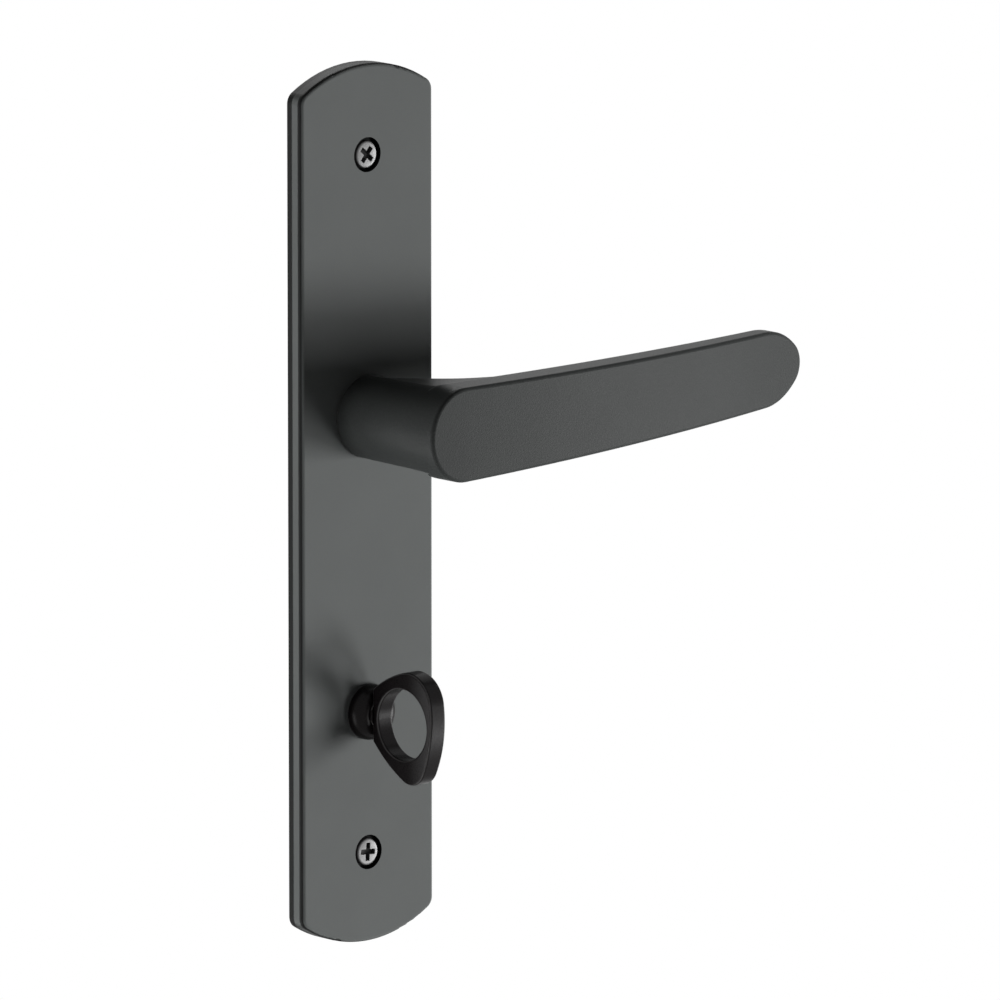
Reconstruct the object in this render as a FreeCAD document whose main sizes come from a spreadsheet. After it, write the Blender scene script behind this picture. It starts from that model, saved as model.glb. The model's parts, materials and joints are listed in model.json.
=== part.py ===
import FreeCAD, Part
import math
import os

import Sketcher
from FreeCAD import Placement, Rotation, Vector

# Bathroom door lever set: the inside half, which is a long plate with a sprung lever and a thumbturn.
# The origin is the centre of the plate's back face, where it meets the door.
# X points to the lever's free end, Y points into the door and Z points up.
# Pieces on a spindle axis are drawn about their own Y axis and then placed at that axis's height.

SIZES = [
    # the plate
    ("plate_width", 40.6, "width of the plate"),
    ("plate_height", 207.6, "height of the plate over both arched ends"),
    ("plate_thickness", 5.0, "front face to door"),
    ("plate_arch", 6.3, "rise of each arched end"),
    ("plate_corner", 3.0, "rounding of the four corners"),
    ("plate_edge", 0.9, "rounding of the front edge"),
    ("face_wall", 2.0, "metal left in front of the hollow back"),
    ("rim_wall", 2.0, "rim round the hollow back"),
    ("rib_width", 2.4, "cross ribs in the hollow back"),
    ("middle_rib_height", 0.0, "height of the rib on the plate's centre"),
    ("upper_rib_height", 60.0, "height of the rib above the lever"),
    ("lower_rib_height", -24.0, "height of the rib above the thumbturn"),
    ("bottom_rib_height", -68.0, "height of the rib below the thumbturn"),
    ("screw_spacing", 165.0, "between the two door screws"),
    ("screw_boss", 13.0, "diameter of the solid round each door screw"),
    ("screw_hole", 4.0, "diameter of the door screw holes"),
    ("screw_recess", 8.2, "round recess for each door screw's head"),
    ("screw_recess_depth", 1.9, "depth of that recess"),
    # the axes
    ("lever_height", 21.0, "height of the lever's axis"),
    ("turn_drop", 70.0, "lever axis down to thumbturn axis"),
    # clearances
    ("running", 0.05, "radial clearance of a turning fit"),
    ("seat", 0.03, "clearance of a fixed fit"),
    ("play", 0.2, "axial clearance beside a turning face"),
    ("lip", 0.3, "how far each bush stands proud of the plate"),
    # the lever
    ("neck_diameter", 19.6, "neck where it meets the plate"),
    ("neck_straight", 8.0, "length of the neck before it flares"),
    ("neck_flare_depth", 14.5, "distance from the plate to the first flared section"),
    ("neck_elbow_depth", 19.5, "distance from the plate to the second flared section"),
    ("neck_root_depth", 22.5, "distance from the plate to the third flared section"),
    ("neck_end_depth", 26.0, "distance from the plate to the section buried in the grip"),
    ("neck_flare_reach", 11.8, "reach of the first flared section towards the grip's end"),
    ("neck_elbow_reach", 16.8, "reach of the second flared section"),
    ("neck_root_reach", 21.5, "reach of the third flared section"),
    ("neck_end_reach", 27.0, "reach of the buried section"),
    ("neck_corner", 6.0, "rounding of the flared sections' far corners"),
    ("neck_growth", 0.11, "growth of the neck's half height from one section to the next"),
    ("grip_face_distance", 34.6, "plate face to grip face on the lever's axis"),
    ("grip_length", 125.6, "lever axis to the end of the grip"),
    ("grip_root_radius", 11.1, "half height of the grip on the lever's axis"),
    ("grip_taper", 1.02, "angle between the grip's middle line and each long edge"),
    ("grip_shoulder_radius", 20.0, "rounding between the long edges and the nose"),
    ("grip_nose_radius", 5.7, "rounding of the grip's nose"),
    ("grip_face_radius", 555.0, "plan radius of the grip's front face"),
    ("grip_start_angle", 3.15, "lean of the front face on the lever's axis"),
    ("grip_root_thickness", 11.0, "front to back on the lever's axis"),
    ("grip_tip_thickness", 7.2, "front to back at the tip"),
    ("grip_back_radius", 660.0, "plan radius of the grip's back"),
    ("grip_back_round", 3.6, "rounding of the grip's back edges"),
    ("grip_face_edge", 0.8, "rounding of the front face's edge"),
    ("grip_rim", 1.5, "rim of the front face at its rounded end"),
    ("grip_relief", 48.0, "angle at which the grip is thinned behind that rim"),
    ("journal_diameter", 16.0, "lever journal in its bush"),
    ("journal_flats", 13.4, "across the two flats that carry the driver"),
    ("tail_diameter", 13.0, "lever tail in the spring housing"),
    ("tail_length", 9.2, "lever tail behind the door plane"),
    ("socket_depth", 15.0, "spindle socket in front of the plate's face"),
    # the fasteners and springs of the lever
    ("spindle_side", 7.0, "side of the lever spindle"),
    ("spindle_reach", 18.0, "spindle behind the door plane"),
    ("spindle_chamfer", 0.4, "chamfer on each spindle's ends"),
    ("grub_diameter", 4.0, "grub screw"),
    ("grub_length", 5.2, "grub screw"),
    ("grub_chamfer", 0.4, "chamfer on the grub screw's inner end"),
    ("grub_distance", 8.5, "plate face to the grub screw"),
    ("grub_key", 2.0, "across the flats of the grub screw's key"),
    ("bush_wall", 1.5, "wall of each nylon bush"),
    ("bush_flange", 1.0, "thickness of each bush flange"),
    ("bush_flange_width", 2.0, "overhang of each bush flange"),
    ("driver_thickness", 1.5, "spring driver plate"),
    ("driver_radius", 10.8, "spring driver plate"),
    ("stop_radius", 13.2, "reach of the driver's stop lug and tab"),
    ("stop_root", 11.6, "inner radius of the stops"),
    ("stop_half_angle", 6.0, "half width of the stop lug"),
    ("tab_half_angle", 5.0, "half width of the spring tab"),
    ("tab_length", 2.4, "spring tab behind the driver plate"),
    ("stop_gap_angle", 0.7, "gap left between lug and stop"),
    ("stop_width_angle", 9.0, "width of each stop"),
    ("lever_travel", 40.0, "how far the lever is pressed down"),
    ("coil_radius", 9.6, "mean radius of the return spring"),
    ("wire_diameter", 1.4, "wire of the return spring"),
    ("coil_pitch", 1.48, "pitch of the return spring"),
    ("coil_turns", 2.25, "turns of the return spring"),
    ("coil_leg", 12.8, "radius that the spring's legs reach"),
    ("housing_inside", 13.5, "inner radius of the spring housing"),
    ("housing_wall", 1.2, "wall of the spring housing"),
    ("housing_depth", 6.4, "spring housing behind the door plane"),
    ("housing_round", 1.6, "rounding of the housing's rear edge"),
    ("housing_seat", 1.0, "height of the seat ring in the hollow back"),
    ("hub_wall", 1.8, "wall of the housing's hub"),
    ("hub_start", 1.0, "hub's front end behind the door plane"),
    ("ear_distance", 18.0, "lever axis to each housing screw"),
    ("ear_radius", 3.4, "ear round each housing screw"),
    ("ear_thickness", 1.5, "ear of the spring housing"),
    ("ear_angle", 135.0, "direction of the first ear"),
    ("small_screw", 2.5, "housing screw"),
    ("small_head", 4.6, "head of the housing screw"),
    ("small_screw_length", 3.6, "housing screw"),
    ("washer_thickness", 0.5, "thrust washer"),
    ("washer_width", 3.0, "radial width of the thrust washer"),
    ("clip_thickness", 1.0, "lever circlip"),
    ("clip_width", 2.0, "radial width of the lever circlip"),
    ("groove_depth", 0.5, "circlip groove"),
    ("clip_lug", 1.5, "radius of a circlip's lugs"),
    ("clip_hole", 0.6, "radius of the plier holes"),
    ("clip_gap", 2.4, "opening of a circlip"),
    # the thumbturn
    ("stem_diameter", 13.2, "stem of the thumbturn"),
    ("stem_length", 4.06, "plate face to the ring"),
    ("stem_round", 3.4, "rounding of the stem's outer end"),
    ("ring_thickness", 4.6, "thickness of the ring"),
    ("ring_edge", 0.55, "rounding of the ring's edges"),
    ("ring_foot_top", 6.2, "top of the ring's flat foot above the axis"),
    ("ring_foot_bottom", 6.2, "bottom of the flat foot below the axis"),
    ("ring_upper_reach", 18.1, "foot to the ring's upper corner"),
    ("ring_upper_rise", 12.5, "upper corner above the axis"),
    ("ring_upper_round", 8.0, "rounding of the upper corner"),
    ("ring_lower_reach", 15.0, "foot to the ring's lower corner"),
    ("ring_lower_drop", 16.2, "lower corner below the axis"),
    ("ring_lower_round", 5.2, "rounding of the lower corner"),
    ("ring_front_radius", 29.0, "radius of the ring's front edge"),
    ("ring_upper_radius", 29.0, "radius of the ring's upper edge"),
    ("ring_lower_radius", 36.0, "radius of the ring's lower edge"),
    ("ring_hole", 16.8, "hole through the ring"),
    ("ring_hole_reach", 10.24, "foot to the centre of the hole"),
    ("ring_hole_drop", 0.9, "centre of the hole below the axis"),
    ("turn_journal", 10.0, "thumbturn journal in its bush"),
    ("turn_tail", 0.6, "thumbturn tail behind the door plane"),
    ("turn_spindle_side", 5.0, "side of the thumbturn spindle"),
    ("turn_socket_depth", 3.0, "thumbturn socket in front of the plate's face"),
    ("turn_clip_thickness", 0.6, "thumbturn circlip"),
    ("turn_clip_width", 1.5, "radial width of the thumbturn circlip"),
    ("turn_groove", 0.4, "depth of the thumbturn's circlip groove"),
    ("turn_washer", 0.3, "flat washer of the thumbturn"),
    ("spring_washer", 0.25, "metal of the conical spring washer"),
    ("spring_washer_rise", 0.55, "height of the conical spring washer"),
    ("turn_washer_width", 2.6, "radial width of both thumbturn washers"),
    # the door screws
    ("screw_head", 6.4, "door screw head"),
    ("screw_head_height", 1.65, "door screw head"),
    ("screw_head_round", 0.5, "rounding of the door screw head's edge"),
    ("screw_neck", 2.9, "plain neck under the door screw's head"),
    ("screw_neck_end", 0.6, "neck's end behind the door plane"),
    ("screw_shank", 3.5, "door screw over its thread"),
    ("screw_length", 23.0, "door screw, head to point"),
    ("screw_point", 5.0, "tapered point of the door screw"),
    ("recess_width", 0.75, "slot of the cross recess"),
    ("recess_length", 3.6, "cross recess, end to end"),
    ("recess_depth", 1.2, "cross recess"),
    ("upper_recess_angle", 40.0, "turn of the upper screw's cross"),
    ("lower_recess_angle", 4.0, "turn of the lower screw's cross"),
]


class Size:
    """A length or angle worked out from the sheet: its expression, and what it comes to."""

    def __init__(self, text, value):
        self.text = text
        self.value = value

    def __add__(self, other):
        other = as_size(other)
        return Size(f"({self.text} + {other.text})", self.value + other.value)

    def __sub__(self, other):
        other = as_size(other)
        return Size(f"({self.text} - {other.text})", self.value - other.value)

    def __mul__(self, other):
        other = as_size(other)
        return Size(f"({self.text} * {other.text})", self.value * other.value)

    def __truediv__(self, other):
        other = as_size(other)
        return Size(f"({self.text} / {other.text})", self.value / other.value)

    def __radd__(self, other):
        return as_size(other) + self

    def __rsub__(self, other):
        return as_size(other) - self

    def __neg__(self):
        return 0 - self


class Sheet:
    """The spreadsheet's cells, each as a Size under its own name."""


def as_size(number):
    return number if isinstance(number, Size) else Size(repr(float(number)), float(number))


def cosine(angle):
    return Size(f"cos({angle.text})", math.cos(math.radians(angle.value)))


def sine(angle):
    return Size(f"sin({angle.text})", math.sin(math.radians(angle.value)))


def arcsine(ratio):
    return Size(f"(asin({ratio.text}) / 1 deg)", math.degrees(math.asin(ratio.value)))


def root(number):
    return Size(f"sqrt({number.text})", math.sqrt(number.value))


def polar(radius, angle):
    return radius * cosine(angle), radius * sine(angle)


def bind(thing, path, size):
    thing.setExpression(path, as_size(size).text)


doc = FreeCAD.newDocument("door_lever_set")
cells = doc.addObject("Spreadsheet::Sheet", "Sizes")
z = Sheet()
for row, (alias, number, meaning) in enumerate(SIZES, start=1):
    cells.set(f"A{row}", meaning)
    cells.set(f"B{row}", str(number))
    cells.setAlias(f"B{row}", alias)
    setattr(z, alias, Size(f"Sizes.{alias}", number))
doc.recompute()

FLOOR = z.plate_thickness - z.face_wall
TURN_HEIGHT = z.lever_height - z.turn_drop
BUSH_REAR = FLOOR - z.bush_flange
DRIVER_FRONT = BUSH_REAR - z.play
DRIVER_REAR = DRIVER_FRONT - z.driver_thickness
GRIP_FACE = z.plate_thickness + z.grip_face_distance
NECK_START = z.plate_thickness + z.lip + z.play / 2
TAB_ANGLE = 90
LUG_ANGLE = 270
parts = []


# sketches

def new_body(label, height=None):
    body = doc.addObject("PartDesign::Body", label)
    body.Label = label
    if height is not None:
        bind(body, "Placement.Base.z", height)
    parts.append(body)
    return body


def new_sketch(body, name, role, offset=None):
    sketch = body.newObject("Sketcher::SketchObject", name)
    plane = [f for f in body.Origin.OriginFeatures if f.Role == role][0]
    sketch.AttachmentSupport = (plane, [""])
    sketch.MapMode = "FlatFace"
    if offset is not None:
        bind(sketch, "AttachmentOffset.Base.z", offset)
    return sketch


def front_sketch(body, name, depth=0.0):
    """A sketch seen from the front, X right and Z up, lying depth in front of the door plane."""
    return new_sketch(body, name, "XZ_Plane", as_size(depth))


def hold(sketch, kind, geometry, point, size):
    size = as_size(size)
    index = sketch.addConstraint(Sketcher.Constraint(kind, -1, 1, geometry, point, size.value))
    sketch.setExpression(f"Constraints[{index}]", size.text)


def hold_point(sketch, geometry, point, x, y):
    hold(sketch, "DistanceX", geometry, point, x)
    hold(sketch, "DistanceY", geometry, point, y)


def arc_centre(start, end, radius):
    """The centre of the arc from start to end: on its left for a positive radius, else on its right."""
    chord = end - start
    left = Vector(-chord.y, chord.x, 0).normalize()
    height = math.sqrt(max(radius * radius - chord.Length * chord.Length / 4, 0.0))
    return (start + end) / 2 + left * math.copysign(height, radius)


def arc_between(start, end, radius):
    """The short arc from start to end, always run anticlockwise, as sketches keep it."""
    centre = arc_centre(start, end, radius)
    first, last = (start, end) if radius > 0 else (end, start)
    angles = [math.atan2(p.y - centre.y, p.x - centre.x) for p in (first, last)]
    return Part.ArcOfCircle(Part.Circle(centre, Vector(0, 0, 1), abs(radius)), *angles)


def loop(sketch, corners):
    """A closed outline: each corner is (x, y), or (x, y, radius) where the next edge is an arc."""
    spots = [Vector(as_size(c[0]).value, as_size(c[1]).value, 0) for c in corners]
    first = sketch.GeometryCount
    count = len(corners)
    ends = []
    for i, corner in enumerate(corners):
        start, end = spots[i], spots[(i + 1) % count]
        if len(corner) == 3:
            radius = as_size(corner[2]).value
            sketch.addGeometry(arc_between(start, end, radius), False)
            ends.append((1, 2) if radius > 0 else (2, 1))
        else:
            sketch.addGeometry(Part.LineSegment(start, end), False)
            ends.append((1, 2))
    for i in range(count):
        following = (i + 1) % count
        sketch.addConstraint(
            Sketcher.Constraint("Coincident", first + i, ends[i][1], first + following, ends[following][0])
        )
    for i, corner in enumerate(corners):
        hold_point(sketch, first + i, ends[i][0], corner[0], corner[1])
        if len(corner) == 3:
            size = as_size(corner[2])
            if size.value < 0:
                size = -size
            index = sketch.addConstraint(Sketcher.Constraint("Radius", first + i, size.value))
            sketch.setExpression(f"Constraints[{index}]", size.text)


def rectangle(sketch, left, bottom, right, top):
    loop(sketch, [(left, bottom), (right, bottom), (right, top), (left, top)])


def circle(sketch, x, y, radius):
    radius = as_size(radius)
    centre = Vector(as_size(x).value, as_size(y).value, 0)
    index = sketch.addGeometry(Part.Circle(centre, Vector(0, 0, 1), radius.value), False)
    hold_point(sketch, index, 3, x, y)
    constraint = sketch.addConstraint(Sketcher.Constraint("Radius", index, radius.value))
    sketch.setExpression(f"Constraints[{constraint}]", radius.text)


# how far the six edges of a neck section open out from the middle of its top, bottom and right side
SECTION_SPREAD = as_size(4)


def round_section(sketch, radius):
    """A circle in six arcs, which match the six edges of a flared section."""
    turns = []
    for middle in (90, 0, -90):
        turns.append(as_size(middle) + SECTION_SPREAD)
        turns.append(as_size(middle) - SECTION_SPREAD)
    loop(sketch, [(*polar(radius, angle), -radius) for angle in turns])


def flared_section(sketch, half_height, reach, corner):
    """Round on the left of the axis, flat above and below, and square with rounded corners at its reach."""
    start_x, start_z = polar(half_height, 90 + SECTION_SPREAD)
    flat_end, side = reach - corner, half_height - corner
    loop(
        sketch,
        [
            (start_x, start_z),
            (flat_end, half_height, -corner),
            (reach, side),
            (reach, -side, -corner),
            (flat_end, -half_height),
            (start_x, -start_z, -half_height),
        ],
    )


def sector(sketch, inner, outer, start, end):
    """A block of a ring, from the angle start anticlockwise to the angle end."""
    loop(
        sketch,
        [
            (*polar(outer, start), outer),
            (*polar(outer, end),),
            (*polar(inner, end), -inner),
            (*polar(inner, start),),
        ],
    )


# features

def pad(body, sketch, length, both_ways=False):
    """Adds the sketch's outline, towards the front for a front sketch."""
    feature = body.newObject("PartDesign::Pad", sketch.Name + "_pad")
    feature.Profile = sketch
    bind(feature, "Length", length)
    if both_ways:
        feature.SideType = "Symmetric"
    sketch.Visibility = False
    return feature


def cut(body, sketch, length=None, both_ways=False, forward=False):
    """Removes the sketch's outline, to the back of a front sketch unless forward. Checks that metal went."""
    doc.recompute()
    before = body.Shape.Volume
    feature = body.newObject("PartDesign::Pocket", sketch.Name + "_cut")
    feature.Profile = sketch
    feature.Reversed = forward
    if length is None:
        feature.Type = "ThroughAll"
    else:
        bind(feature, "Length", length)
    if both_ways:
        feature.SideType = "Symmetric"
    doc.recompute()
    if body.Shape.Volume > before - 1e-3:
        raise RuntimeError(f"{feature.Name} removed nothing")
    return feature


def turn(body, name, profile):
    """Revolves a profile of (radius, y) corners about the body's Y axis."""
    sketch = new_sketch(body, name, "XY_Plane")
    loop(sketch, profile)
    feature = body.newObject("PartDesign::Revolution", name + "_turned")
    feature.Profile = sketch
    feature.ReferenceAxis = (sketch, ["V_Axis"])
    feature.Angle = 360
    return feature


def soften(body, kind, amount, wanted):
    """A fillet or chamfer on the edges of the body's last feature that wanted() picks."""
    doc.recompute()
    base = body.Tip
    names = [f"Edge{i}" for i, edge in enumerate(base.Shape.Edges, start=1) if wanted(edge)]
    if not names:
        raise RuntimeError(f"{body.Label}: no edge to soften")
    feature = body.newObject(f"PartDesign::{kind}", f"{body.Name}_{kind.lower()}")
    feature.Base = (base, names)
    bind(feature, "Radius" if kind == "Fillet" else "Size", amount)
    doc.recompute()
    return feature


def points_on(edge, count=5):
    first, last = edge.FirstParameter, edge.LastParameter
    return [edge.valueAt(first + (last - first) * i / (count - 1)) for i in range(count)]


def at_depth(edge, depth):
    """True for an edge that lies depth in front of the door plane."""
    return all(abs(p.y + depth.value) < 1e-4 for p in points_on(edge))


def at_side(edge, distance):
    """True for an edge that lies distance to the left or right of the body's axis."""
    return all(abs(abs(p.x) - distance.value) < 1e-4 for p in points_on(edge))


def on_upright_cylinder(edge, centre, radius):
    """True for an edge that lies on an upright cylinder about centre."""
    return all(abs(math.hypot(p.x - centre.x, p.y - centre.y) - radius.value) < 1e-3 for p in points_on(edge))


# the plate

def plate_outline(sketch, inset):
    """The plate's front outline, drawn in by inset all round."""
    half = z.plate_width / 2
    arch_radius = (half * half + z.plate_arch * z.plate_arch) / (z.plate_arch * 2)
    side = half - inset
    bow = arch_radius - inset
    arch_centre = z.plate_height / 2 - arch_radius
    shoulder = arch_centre + root(bow * bow - side * side)
    loop(
        sketch,
        [
            (side, -shoulder),
            (side, shoulder, bow),
            (-side, shoulder),
            (-side, -shoulder, bow),
        ],
    )


def lever_bush_outer():
    return z.journal_diameter / 2 + z.running + z.bush_wall


def turn_bush_outer():
    return z.turn_journal / 2 + z.running + z.bush_wall


def ears():
    """The two housing screws, from the lever's axis."""
    opposite = z.ear_angle + 180
    return [polar(z.ear_distance, z.ear_angle), polar(z.ear_distance, opposite)]


def make_backplate():
    body = new_body("backplate")
    outline = front_sketch(body, "plate_outline")
    plate_outline(outline, as_size(0))
    pad(body, outline, z.plate_thickness)
    half = z.plate_width / 2
    soften(body, "Fillet", z.plate_corner, lambda e: at_side(e, half) and abs(e.tangentAt(0).y) > 0.5)
    soften(body, "Fillet", z.plate_edge, lambda e: at_depth(e, z.plate_thickness))

    hollow = front_sketch(body, "plate_hollow")
    plate_outline(hollow, z.rim_wall)
    cut(body, hollow, FLOOR, forward=True)

    ribs = front_sketch(body, "plate_ribs")
    inner = half - z.rim_wall / 2
    for rib in (z.middle_rib_height, z.upper_rib_height, z.lower_rib_height, z.bottom_rib_height):
        rectangle(ribs, -inner, rib - z.rib_width / 2, inner, rib + z.rib_width / 2)
    pad(body, ribs, FLOOR + z.face_wall / 2)

    bosses = front_sketch(body, "screw_bosses")
    for end in (1, -1):
        circle(bosses, 0, z.screw_spacing * (end * 0.5), z.screw_boss / 2)
    pad(body, bosses, FLOOR + z.face_wall / 2)

    turn_boss = front_sketch(body, "turn_boss", FLOOR - z.housing_seat)
    circle(turn_boss, 0, TURN_HEIGHT, turn_bush_outer() + z.bush_flange_width + z.seat + z.bush_wall)
    pad(body, turn_boss, z.housing_seat + z.face_wall / 2)

    lever_seat = front_sketch(body, "lever_seat", FLOOR - z.housing_seat)
    circle(lever_seat, 0, z.lever_height, z.housing_inside + z.housing_wall)
    pad(body, lever_seat, z.housing_seat + z.face_wall / 2)
    ear_seats = front_sketch(body, "ear_seats", FLOOR - z.housing_seat)
    for x, height in ears():
        circle(ear_seats, x, z.lever_height + height, z.ear_radius)
    pad(body, ear_seats, z.housing_seat + z.face_wall / 2)

    flanges = front_sketch(body, "flange_recesses", FLOOR - z.housing_seat)
    circle(flanges, 0, z.lever_height, lever_bush_outer() + z.bush_flange_width + z.seat)
    circle(flanges, 0, TURN_HEIGHT, turn_bush_outer() + z.bush_flange_width + z.seat)
    cut(body, flanges, z.housing_seat, forward=True)

    bores = front_sketch(body, "bush_bores")
    circle(bores, 0, z.lever_height, lever_bush_outer() + z.seat)
    circle(bores, 0, TURN_HEIGHT, turn_bush_outer() + z.seat)
    for end in (1, -1):
        circle(bores, 0, z.screw_spacing * (end * 0.5), z.screw_hole / 2)
    cut(body, bores, both_ways=True)

    # the housing screws' pilot holes stop short of the face
    pilots = front_sketch(body, "pilot_holes", FLOOR - z.housing_seat)
    for x, height in ears():
        circle(pilots, x, z.lever_height + height, z.small_screw / 2 + z.seat)
    cut(body, pilots, z.housing_seat + z.face_wall * 0.6, forward=True)

    recesses = front_sketch(body, "screw_recesses", z.plate_thickness - z.screw_recess_depth)
    for end in (1, -1):
        circle(recesses, 0, z.screw_spacing * (end * 0.5), z.screw_recess / 2)
    cut(body, recesses, z.screw_recess_depth, forward=True)
    return body


# the lever

def grip_face_centre():
    """Centre of the front face's plan arc."""
    x = -z.grip_face_radius * sine(z.grip_start_angle)
    y = z.grip_face_radius * cosine(z.grip_start_angle) - GRIP_FACE
    return x, y


def grip_face_at(x):
    """Where the front face's plan arc is, at a distance x from the lever's axis."""
    centre_x, centre_y = grip_face_centre()
    across = x - centre_x
    return centre_y - root(z.grip_face_radius * z.grip_face_radius - across * across)


def make_lever():
    body = new_body("lever", z.lever_height)
    overshoot = 3.0
    left = -(z.grip_root_radius + overshoot)
    right = z.grip_length + overshoot
    plan = new_sketch(body, "grip_plan", "XY_Plane")
    back_left = (left, grip_face_at(left) + z.grip_root_thickness)
    back_right = (right, grip_face_at(right) + z.grip_tip_thickness)
    loop(
        plan,
        [
            (left, grip_face_at(left), z.grip_face_radius),
            (right, grip_face_at(right)),
            (*back_right, -z.grip_back_radius),
            back_left,
        ],
    )
    pad(body, plan, z.grip_root_radius * 2 + overshoot, both_ways=True)

    # everything outside the grip's front outline is cut away
    front = front_sketch(body, "grip_outline")
    root_x, root_z = polar(z.grip_root_radius, 90 - z.grip_taper)
    nose_x = z.grip_length - z.grip_nose_radius
    between = z.grip_shoulder_radius - z.grip_nose_radius
    shortfall = z.grip_shoulder_radius - z.grip_root_radius + nose_x * sine(z.grip_taper)
    nose_angle = arcsine(shortfall / between) - z.grip_taper
    nose_edge_x, nose_edge_z = polar(z.grip_nose_radius, nose_angle)
    inward_x, inward_z = polar(between, nose_angle)
    along_x, along_z = polar(z.grip_shoulder_radius, 90 - z.grip_taper)
    shoulder_x, shoulder_z = nose_x - inward_x + along_x, along_z - inward_z
    loop(
        front,
        [
            (root_x, -root_z),
            (shoulder_x, -shoulder_z, z.grip_shoulder_radius),
            (nose_x + nose_edge_x, -nose_edge_z, z.grip_nose_radius),
            (nose_x + nose_edge_x, nose_edge_z, z.grip_shoulder_radius),
            (shoulder_x, shoulder_z),
            (root_x, root_z, z.grip_root_radius),
            (-z.grip_root_radius, 0, z.grip_root_radius),
        ],
    )
    margin = z.grip_root_radius * 2
    rectangle(front, left - margin, -margin, right + margin, margin)
    cut(body, front, both_ways=True)

    # behind the rim at the grip's rounded end the metal is thinned, and the neck takes its place
    relief = new_sketch(body, "rim_relief", "XY_Plane")
    slope = sine(z.grip_relief) / cosine(z.grip_relief)
    rear = grip_face_at(left) + z.grip_root_thickness + overshoot
    rim_back = grip_face_at(-z.grip_root_radius) + z.grip_rim
    loop(
        relief,
        [
            (left, rim_back - slope * overshoot),
            ((rear - rim_back) / slope - z.grip_root_radius, rear),
            (left, rear),
        ],
    )
    cut(body, relief, z.grip_root_radius * 2 + overshoot, both_ways=True)

    x, y = grip_face_centre()
    face_centre = Vector(x.value, y.value, 0)
    back_ends = [Vector(spot[0].value, spot[1].value, 0) for spot in (back_right, back_left)]
    back_centre = arc_centre(*back_ends, -z.grip_back_radius.value)

    def on_back(edge):
        return on_upright_cylinder(edge, back_centre, z.grip_back_radius)

    def on_face(edge):
        return on_upright_cylinder(edge, face_centre, z.grip_face_radius)

    soften(body, "Fillet", z.grip_face_edge, on_face)
    soften(body, "Fillet", z.grip_back_round, on_back)

    # the neck flares from a round bar into the grip
    base_radius = z.neck_diameter / 2
    foot = front_sketch(body, "neck_foot", NECK_START)
    round_section(foot, base_radius)
    bar = front_sketch(body, "neck_bar", z.plate_thickness + z.neck_straight)
    round_section(bar, base_radius + z.neck_growth)
    sections = [foot, bar]
    flares = (
        ("neck_flare", z.neck_flare_depth, z.neck_flare_reach),
        ("neck_elbow", z.neck_elbow_depth, z.neck_elbow_reach),
        ("neck_root", z.neck_root_depth, z.neck_root_reach),
        ("neck_end", z.neck_end_depth, z.neck_end_reach),
    )
    for step, (name, depth, reach) in enumerate(flares, start=2):
        section = front_sketch(body, name, z.plate_thickness + depth)
        flared_section(section, base_radius + z.neck_growth * step, reach, z.neck_corner)
        sections.append(section)
    neck = body.newObject("PartDesign::AdditiveLoft", "neck")
    neck.Profile = sections[0]
    neck.Sections = sections[1:]
    doc.recompute()

    # the neck's round side carries on to the rim of the front face
    head = front_sketch(body, "neck_head", z.plate_thickness + z.neck_end_depth)
    widest = base_radius + z.neck_growth * (len(flares) + 1)
    flared_section(head, widest, z.neck_flare_reach, z.neck_corner)
    pad(body, head, z.grip_face_distance - z.neck_end_depth - z.grip_rim)

    journal_radius, tail_radius = z.journal_diameter / 2, z.tail_diameter / 2
    journal_end = -(DRIVER_REAR - z.play)
    clip_front = z.housing_depth + z.play / 2 + z.washer_thickness + z.play / 4
    clip_rear = clip_front + z.clip_thickness + z.play / 2
    groove_radius = tail_radius - z.groove_depth
    journal_root = -(z.plate_thickness + z.neck_straight / 2)
    turn(
        body,
        "journal",
        [
            (0, journal_root),
            (journal_radius, journal_root),
            (journal_radius, journal_end),
            (tail_radius, journal_end),
            (tail_radius, clip_front),
            (groove_radius, clip_front),
            (groove_radius, clip_rear),
            (tail_radius, clip_rear),
            (tail_radius, z.tail_length),
            (0, z.tail_length),
        ],
    )
    flats = front_sketch(body, "driver_flats", -z.tail_length)
    wide = z.journal_diameter
    for side in (1, -1):
        near, far = z.journal_flats * (side * 0.5), wide * side
        low, high = (near, far) if side > 0 else (far, near)
        rectangle(flats, -wide, low, wide, high)
    cut(body, flats, z.tail_length + BUSH_REAR - z.play / 2, forward=True)

    socket = front_sketch(body, "spindle_socket", -z.tail_length)
    half_side = z.spindle_side / 2 + z.seat
    rectangle(socket, -half_side, -half_side, half_side, half_side)
    cut(body, socket, z.tail_length + z.plate_thickness + z.socket_depth, forward=True)

    grub = new_sketch(body, "grub_hole", "XY_Plane")
    circle(grub, 0, -(z.plate_thickness + z.grub_distance), z.grub_diameter / 2 + z.seat)
    cut(body, grub, z.neck_diameter)
    return body


def make_spindle(label, height, side, front, reach):
    """A square spindle from front (before the door plane) to reach (behind it), chamfered at both ends."""
    body = new_body(label, height)
    section = front_sketch(body, f"{label}_section", -reach)
    half = side / 2
    rectangle(section, -half, -half, half, half)
    pad(body, section, front + reach)
    ends = (front, -reach)
    soften(body, "Chamfer", z.spindle_chamfer, lambda e: any(at_depth(e, end) for end in ends))
    return body


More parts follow.
